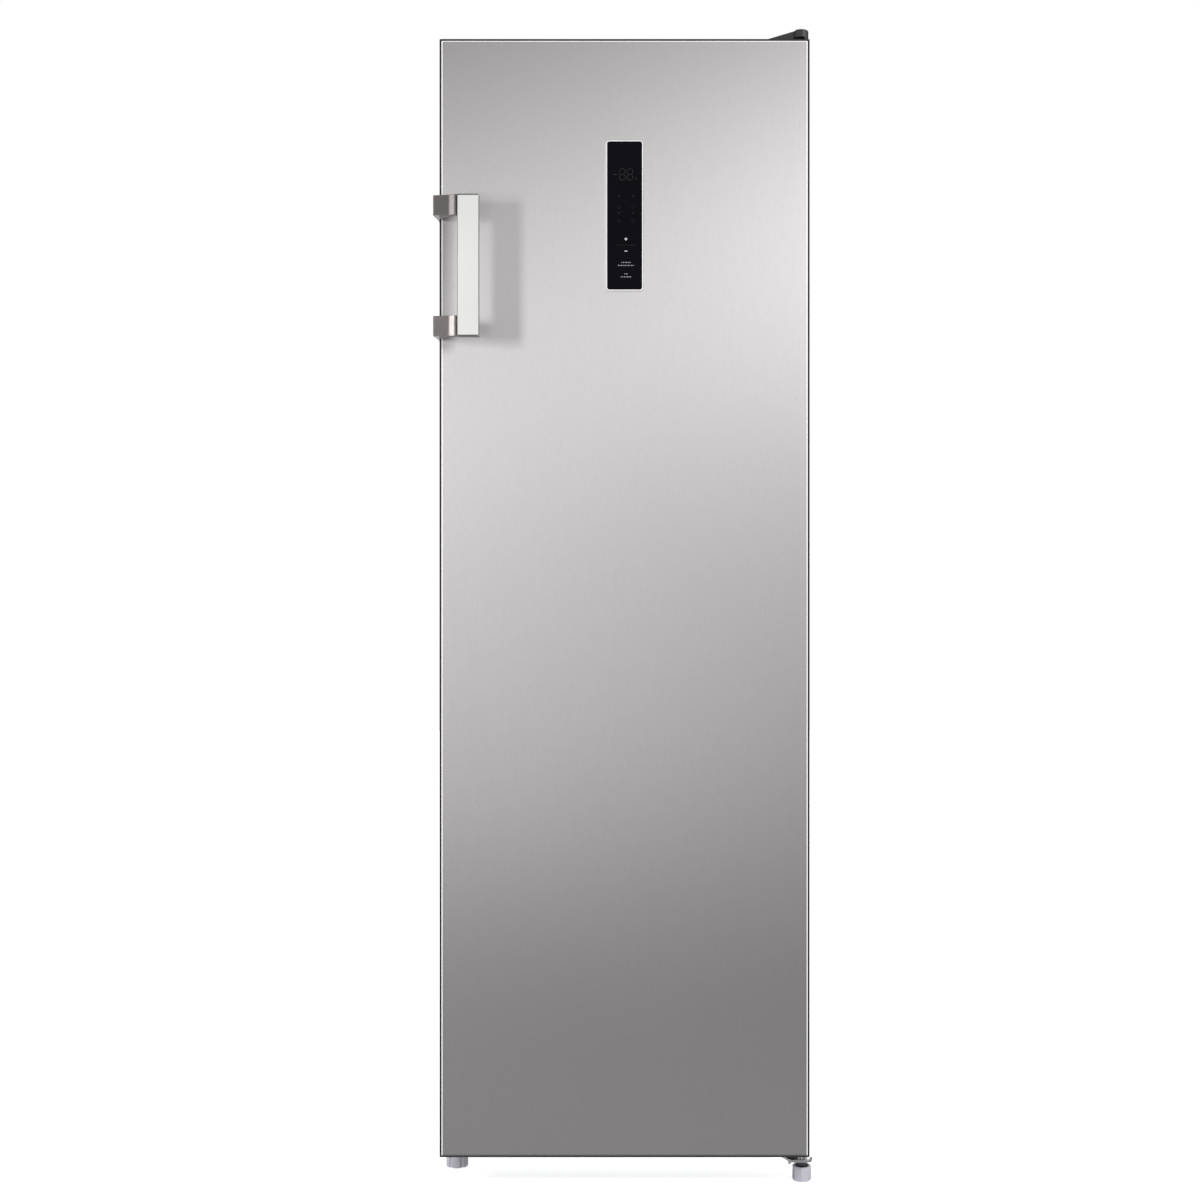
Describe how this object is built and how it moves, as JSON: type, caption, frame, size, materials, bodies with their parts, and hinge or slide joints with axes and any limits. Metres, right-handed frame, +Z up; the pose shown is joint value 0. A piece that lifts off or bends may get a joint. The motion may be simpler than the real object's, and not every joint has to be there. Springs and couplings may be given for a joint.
{
  "type": "upright freezer",
  "caption": "Free-standing upright freezer with a brushed steel door hinged on the right, bar handle, door display, food drawers on glass shelves and a rear machine compartment.",
  "frame": {"origin": "middle of the footprint on the floor", "axes": "+X the freezer's right seen from the front, +Y to its back, +Z up; the door faces -Y"},
  "size_m": [0.6098, 0.7, 1.8731],
  "materials": {
    "stainless_front": "fine vertical brushed grain, clear coated",
    "cabinet_paint": "satin silver-grey coil coating",
    "galvanised": "hot-dip galvanised sheet",
    "zinc_plate": "zinc plated",
    "foam": "cut polyurethane foam",
    "liner_white": "vacuum formed, glossy",
    "dark_plastic": "fine grained",
    "black_enamel": "black enamel",
    "rubber_black": "matt",
    "seal_grey": "soft vinyl",
    "copper": "drawn copper",
    "coil_aluminium": "bare",
    "heater_steel": "bright drawn",
    "tray_plastic": "moulded",
    "lamp_lens": "opal",
    "drawer_clear": "clear polystyrene",
    "shelf_glass": "toughened, ground edges",
    "foot_plastic": "moulded, lavender grey",
    "display_black": "black gloss glass",
    "bezel_silver": "silver rim",
    "board_green": "solder mask",
    "bar_aluminium": "satin anodised",
    "bracket_grey": "satin warm grey",
    "fan_plastic": "moulded"
  },
  "bodies": {
    "cabinet": {"side_panel_left": "cabinet_paint", "side_panel_right": "cabinet_paint", "top_panel": "cabinet_paint", "back_panel": "galvanised", "bottom_panel": "galvanised", "front_beam": "cabinet_paint", "base_frame": "galvanised", "cabinet_foam": "foam", "inner_liner": "liner_white", "compressor": "black_enamel", "compressor_cover": "dark_plastic", "grommets": "rubber_black", "drip_tray": "tray_plastic", "filter_drier": "copper", "refrigerant_tube": "copper", "rear_cover": "dark_plastic", "rear_cover_screws": "zinc_plate", "cord_gland": "dark_plastic", "evaporator": "coil_aluminium", "defrost_heater": "heater_steel", "evaporator_cover": "liner_white", "fan_motor": "fan_plastic", "interior_lamp": "lamp_lens", "drawer_1": "drawer_clear", "drawer_2": "drawer_clear", "drawer_3": "drawer_clear", "drawer_4": "drawer_clear", "drawer_5": "drawer_clear", "drawer_6": "drawer_clear", "shelf_1": "shelf_glass", "shelf_2": "shelf_glass", "shelf_3": "shelf_glass", "shelf_4": "shelf_glass", "shelf_5": "shelf_glass", "top_hinge": "zinc_plate", "top_hinge_screws": "zinc_plate", "hinge_cover": "dark_plastic", "bottom_hinge": "zinc_plate", "bottom_hinge_screws": "zinc_plate", "roller_axles": "zinc_plate"},
    "door": {"door_skin": "stainless_front", "door_top_cap": "dark_plastic", "door_bottom_cap": "dark_plastic", "door_foam": "foam", "door_liner": "liner_white", "door_gasket": "seal_grey", "display_bezel": "bezel_silver", "display_glass": "display_black", "display_board": "board_green", "handle_bar": "bar_aluminium", "handle_bracket_top": "bracket_grey", "handle_bracket_bottom": "bracket_grey", "handle_screws": "zinc_plate"},
    "fan": {"fan_rotor": "fan_plastic"},
    "roller_left": {"roller_left": "rubber_black"},
    "roller_right": {"roller_right": "rubber_black"},
    "foot_left_stud": {"foot_stud_left": "zinc_plate"},
    "foot_left_knob": {"foot_pad_left": "foot_plastic"},
    "foot_right_stud": {"foot_stud_right": "zinc_plate"},
    "foot_right_knob": {"foot_pad_right": "foot_plastic"}
  },
  "joints": [
    {"name": "door_hinge", "type": "hinge", "parent": "cabinet", "child": "door", "pos_m": [0.2855, -0.2675, 0.95], "axis": [0, 0, 1], "range_deg": [0, 120]},
    {"name": "fan_spin", "type": "hinge", "parent": "cabinet", "child": "fan", "pos_m": [0, 0.233, 1.66], "axis": [0, 1, 0], "continuous": true},
    {"name": "roller_left_spin", "type": "hinge", "parent": "cabinet", "child": "roller_left", "pos_m": [-0.262, 0.3, 0.02], "axis": [1, 0, 0], "continuous": true},
    {"name": "roller_right_spin", "type": "hinge", "parent": "cabinet", "child": "roller_right", "pos_m": [0.262, 0.3, 0.02], "axis": [1, 0, 0], "continuous": true},
    {"name": "foot_left_travel", "type": "slide", "parent": "cabinet", "child": "foot_left_stud", "axis": [0, 0, 1], "range_m": [-0.01, 0]},
    {"name": "foot_left_turn", "type": "hinge", "parent": "foot_left_stud", "child": "foot_left_knob", "pos_m": [-0.279, -0.1835, 0], "axis": [0, 0, 1], "range_deg": [-2880, 0]},
    {"name": "foot_right_travel", "type": "slide", "parent": "cabinet", "child": "foot_right_stud", "axis": [0, 0, 1], "range_m": [-0.01, 0]},
    {"name": "foot_right_turn", "type": "hinge", "parent": "foot_right_stud", "child": "foot_right_knob", "pos_m": [0.2905, -0.2525, 0], "axis": [0, 0, 1], "range_deg": [-2880, 0]}
  ],
  "couplings": [
    {"joint": "foot_left_travel", "follows": "foot_left_turn", "m_per_rad": 0.00019894},
    {"joint": "foot_right_travel", "follows": "foot_right_turn", "m_per_rad": 0.00019894}
  ]
}
